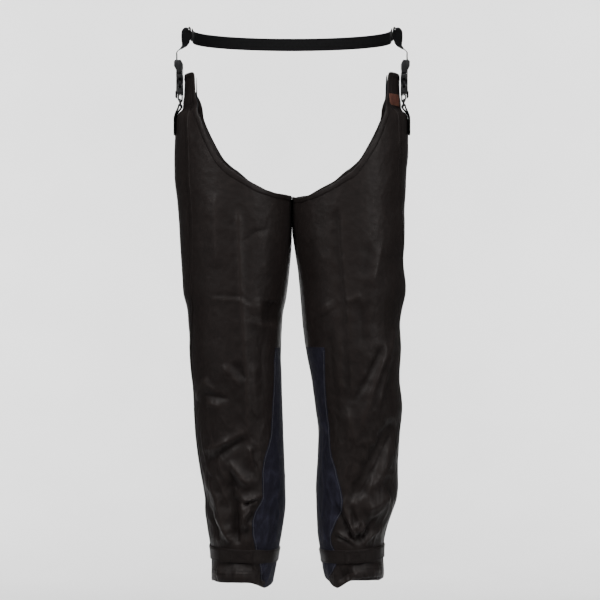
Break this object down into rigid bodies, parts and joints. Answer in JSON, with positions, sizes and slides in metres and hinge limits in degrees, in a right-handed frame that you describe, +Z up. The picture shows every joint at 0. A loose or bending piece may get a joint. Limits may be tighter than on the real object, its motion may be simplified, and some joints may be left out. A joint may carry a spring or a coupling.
{
  "type": "protective leg chaps",
  "caption": "Pair of full-wrap waxed-cloth leg chaps with curved tops, hung from a waist strap by side-release buckles, with inner calf panels and ankle straps.",
  "frame": {"origin": "centre of the wearer's waist at the height of the waist strap's centre line", "axes": "+Z up along the wearer, -Y to the front, +X to the wearer's left"},
  "size_m": [0.4574, 0.2403, 1.0875],
  "materials": {
    "waxed_cloth": "waxed cotton, low sheen",
    "denim": "dark twill",
    "webbing": "woven polyester webbing",
    "buckle_plastic": "moulded acetal",
    "ring_metal": "black enamelled wire",
    "label_leather": "stitched tan leather, blank",
    "cut_pad": "layered cut-resistant knit",
    "lining": "plain polyester lining",
    "hook_loop": "hook and loop tape"
  },
  "bodies": {
    "waist": {"waist_webbing": "webbing"},
    "left_strap": {"left_side_strap": "webbing"},
    "left_plug": {"left_buckle_plug": "buckle_plastic"},
    "left_prong_front": {"left_plug_prong_front": "buckle_plastic"},
    "left_prong_rear": {"left_plug_prong_rear": "buckle_plastic"},
    "left_thigh": {"left_buckle_socket": "buckle_plastic", "left_buckle_loop": "webbing", "left_hip_tab": "webbing", "left_thigh_front_shell": "waxed_cloth", "left_thigh_back_shell": "waxed_cloth", "left_thigh_pad": "cut_pad", "left_thigh_lining": "lining", "left_top_facing": "waxed_cloth", "left_knee_front_shell": "waxed_cloth", "left_knee_back_shell": "waxed_cloth", "left_knee_pad": "cut_pad", "left_knee_lining": "lining", "label_patch": "label_leather"},
    "left_ring": {"left_hip_ring": "ring_metal"},
    "left_shin": {"left_shin_front_shell": "waxed_cloth", "left_calf_back_shell": "waxed_cloth", "left_shin_pad": "cut_pad", "left_shin_lining": "lining", "left_calf_panel": "denim", "left_hem_facing": "waxed_cloth", "left_ankle_strap": "waxed_cloth", "left_ankle_loop_patch": "hook_loop"},
    "left_ankle_tab": {"left_ankle_tab": "waxed_cloth", "left_ankle_hook_patch": "hook_loop"},
    "right_strap": {"right_side_strap": "webbing"},
    "right_plug": {"right_buckle_plug": "buckle_plastic"},
    "right_prong_front": {"right_plug_prong_front": "buckle_plastic"},
    "right_prong_rear": {"right_plug_prong_rear": "buckle_plastic"},
    "right_thigh": {"right_buckle_socket": "buckle_plastic", "right_buckle_loop": "webbing", "right_hip_tab": "webbing", "right_thigh_front_shell": "waxed_cloth", "right_thigh_back_shell": "waxed_cloth", "right_thigh_pad": "cut_pad", "right_thigh_lining": "lining", "right_top_facing": "waxed_cloth", "right_knee_front_shell": "waxed_cloth", "right_knee_back_shell": "waxed_cloth", "right_knee_pad": "cut_pad", "right_knee_lining": "lining"},
    "right_ring": {"right_hip_ring": "ring_metal"},
    "right_shin": {"right_shin_front_shell": "waxed_cloth", "right_calf_back_shell": "waxed_cloth", "right_shin_pad": "cut_pad", "right_shin_lining": "lining", "right_calf_panel": "denim", "right_hem_facing": "waxed_cloth", "right_ankle_strap": "waxed_cloth", "right_ankle_loop_patch": "hook_loop"},
    "right_ankle_tab": {"right_ankle_tab": "waxed_cloth", "right_ankle_hook_patch": "hook_loop"}
  },
  "joints": [
    {"name": "left_hip_swing", "type": "hinge", "parent": "waist", "child": "left_strap", "pos_m": [0.194, -0.031, 0], "axis": [-1, 0, 0], "range_deg": [-20, 90]},
    {"name": "left_strap_adjust", "type": "slide", "parent": "left_strap", "child": "left_plug", "axis": [0, 0, 1], "range_m": [-0.03, 0.015]},
    {"name": "left_prong_front_squeeze", "type": "hinge", "parent": "left_plug", "child": "left_prong_front", "pos_m": [0.216, -0.0403, -0.0769], "axis": [1, 0, 0], "range_deg": [0, 7], "stiffness_Nm_per_rad": 0.4},
    {"name": "left_prong_rear_squeeze", "type": "hinge", "parent": "left_plug", "child": "left_prong_rear", "pos_m": [0.216, -0.0217, -0.0769], "axis": [-1, 0, 0], "range_deg": [0, 7], "stiffness_Nm_per_rad": 0.4},
    {"name": "left_buckle_release", "type": "slide", "parent": "left_plug", "child": "left_thigh", "axis": [0, 0, -1], "range_m": [0, 0.03]},
    {"name": "left_ring_swivel", "type": "hinge", "parent": "left_thigh", "child": "left_ring", "pos_m": [0.216, -0.031, -0.132], "axis": [0, 1, 0], "range_deg": [-8, 8]},
    {"name": "left_knee_bend", "type": "hinge", "parent": "left_thigh", "child": "left_shin", "pos_m": [0.12, 0.008, -0.615], "axis": [1, 0, 0], "range_deg": [0, 95], "deforming": ["left_knee_front_shell", "left_knee_back_shell", "left_knee_pad", "left_knee_lining"]},
    {"name": "left_ankle_tab_open", "type": "hinge", "parent": "left_shin", "child": "left_ankle_tab", "pos_m": [0.16092, -0.0597, -1.004], "axis": [0, 0, 1], "range_deg": [0, 115]},
    {"name": "right_hip_swing", "type": "hinge", "parent": "waist", "child": "right_strap", "pos_m": [-0.194, -0.031, 0], "axis": [-1, 0, 0], "range_deg": [-20, 90]},
    {"name": "right_strap_adjust", "type": "slide", "parent": "right_strap", "child": "right_plug", "axis": [0, 0, 1], "range_m": [-0.03, 0.015]},
    {"name": "right_prong_front_squeeze", "type": "hinge", "parent": "right_plug", "child": "right_prong_front", "pos_m": [-0.216, -0.0403, -0.0769], "axis": [1, 0, 0], "range_deg": [0, 7], "stiffness_Nm_per_rad": 0.4},
    {"name": "right_prong_rear_squeeze", "type": "hinge", "parent": "right_plug", "child": "right_prong_rear", "pos_m": [-0.216, -0.0217, -0.0769], "axis": [-1, 0, 0], "range_deg": [0, 7], "stiffness_Nm_per_rad": 0.4},
    {"name": "right_buckle_release", "type": "slide", "parent": "right_plug", "child": "right_thigh", "axis": [0, 0, -1], "range_m": [0, 0.03]},
    {"name": "right_ring_swivel", "type": "hinge", "parent": "right_thigh", "child": "right_ring", "pos_m": [-0.216, -0.031, -0.132], "axis": [0, 1, 0], "range_deg": [-8, 8]},
    {"name": "right_knee_bend", "type": "hinge", "parent": "right_thigh", "child": "right_shin", "pos_m": [-0.111, 0.008, -0.615], "axis": [1, 0, 0], "range_deg": [0, 95], "deforming": ["right_knee_front_shell", "right_knee_back_shell", "right_knee_pad", "right_knee_lining"]},
    {"name": "right_ankle_tab_open", "type": "hinge", "parent": "right_shin", "child": "right_ankle_tab", "pos_m": [-0.13936, -0.0597, -1.004], "axis": [0, 0, -1], "range_deg": [0, 115]}
  ],
  "couplings": [
    {"joint": "left_prong_rear_squeeze", "follows": "left_prong_front_squeeze", "ratio": 1},
    {"joint": "right_prong_rear_squeeze", "follows": "right_prong_front_squeeze", "ratio": 1}
  ]
}
